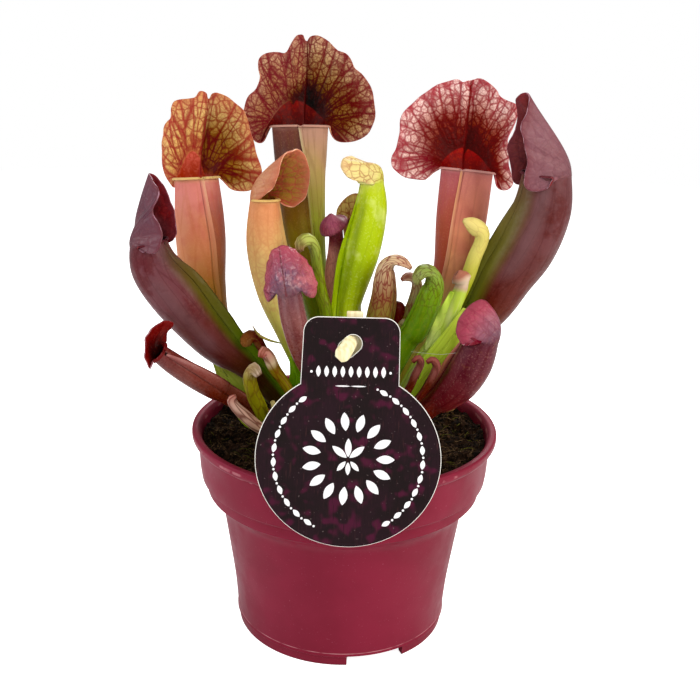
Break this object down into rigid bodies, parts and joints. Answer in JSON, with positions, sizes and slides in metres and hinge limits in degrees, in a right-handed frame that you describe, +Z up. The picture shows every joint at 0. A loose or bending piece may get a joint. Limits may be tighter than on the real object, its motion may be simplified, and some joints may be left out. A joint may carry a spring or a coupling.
{
  "type": "potted pitcher plant",
  "caption": "Pitcher plant with hooded, veined tubular leaves in a round raspberry plastic pot of peat, with a disc-shaped card tag hung on a wooden stake",
  "frame": {"origin": "Under the pot's axis, on the surface that the pot stands on, and at the middle of the overall width and depth to within about a millimetre", "axes": "+Z is up, along the pot's axis; the printed face of the tag and the open side of the tallest leaves look towards -Y; +X is to the right seen from the front"},
  "size_m": [0.1654, 0.1339, 0.2292],
  "materials": {
    "leaf_olive_gold": "satin",
    "leaf_gold": "satin",
    "leaf_crimson": "satin",
    "leaf_plum": "satin",
    "leaf_lime": "satin",
    "leaf_mauve": "satin",
    "leaf_oxblood": "satin",
    "leaf_olive": "satin",
    "leaf_green": "satin",
    "leaf_russet": "satin",
    "leaf_dry": "matte",
    "rhizome": "matte",
    "peat": "matte",
    "pot_plastic": "satin",
    "tag_card": "satin",
    "stake_wood": "matte"
  },
  "bodies": {
    "root": {"pitcher_tall_centre": "leaf_olive_gold", "pitcher_tall_left": "leaf_gold", "pitcher_gold": "leaf_gold", "pitcher_tall_right": "leaf_crimson", "pitcher_dark_left": "leaf_plum", "pitcher_dark_right": "leaf_plum", "pitcher_lime": "leaf_lime", "leaf_lime_flat": "leaf_lime", "bud_yellow_hood": "leaf_lime", "pitcher_plum_front": "leaf_mauve", "pitcher_low_right": "leaf_mauve", "pitcher_low_left": "leaf_oxblood", "pitcher_netted_back": "leaf_olive", "bud_veined_hood": "leaf_olive", "bud_slim_right": "leaf_olive", "bud_hooked_centre": "leaf_green", "bud_green_hook": "leaf_green", "bud_green_tip": "leaf_green", "bud_pale_hook": "leaf_green", "bud_beige_cap": "leaf_green", "bud_pink_cap": "leaf_green", "bud_purple_cap": "leaf_russet", "bud_pink_low": "leaf_russet", "crook_brown_near": "leaf_russet", "crook_brown_far": "leaf_russet", "bud_dry_cap": "leaf_dry", "rhizome": "rhizome", "soil": "peat", "pot": "pot_plastic", "tag": "tag_card", "stake": "stake_wood"}
  },
  "joints": []
}
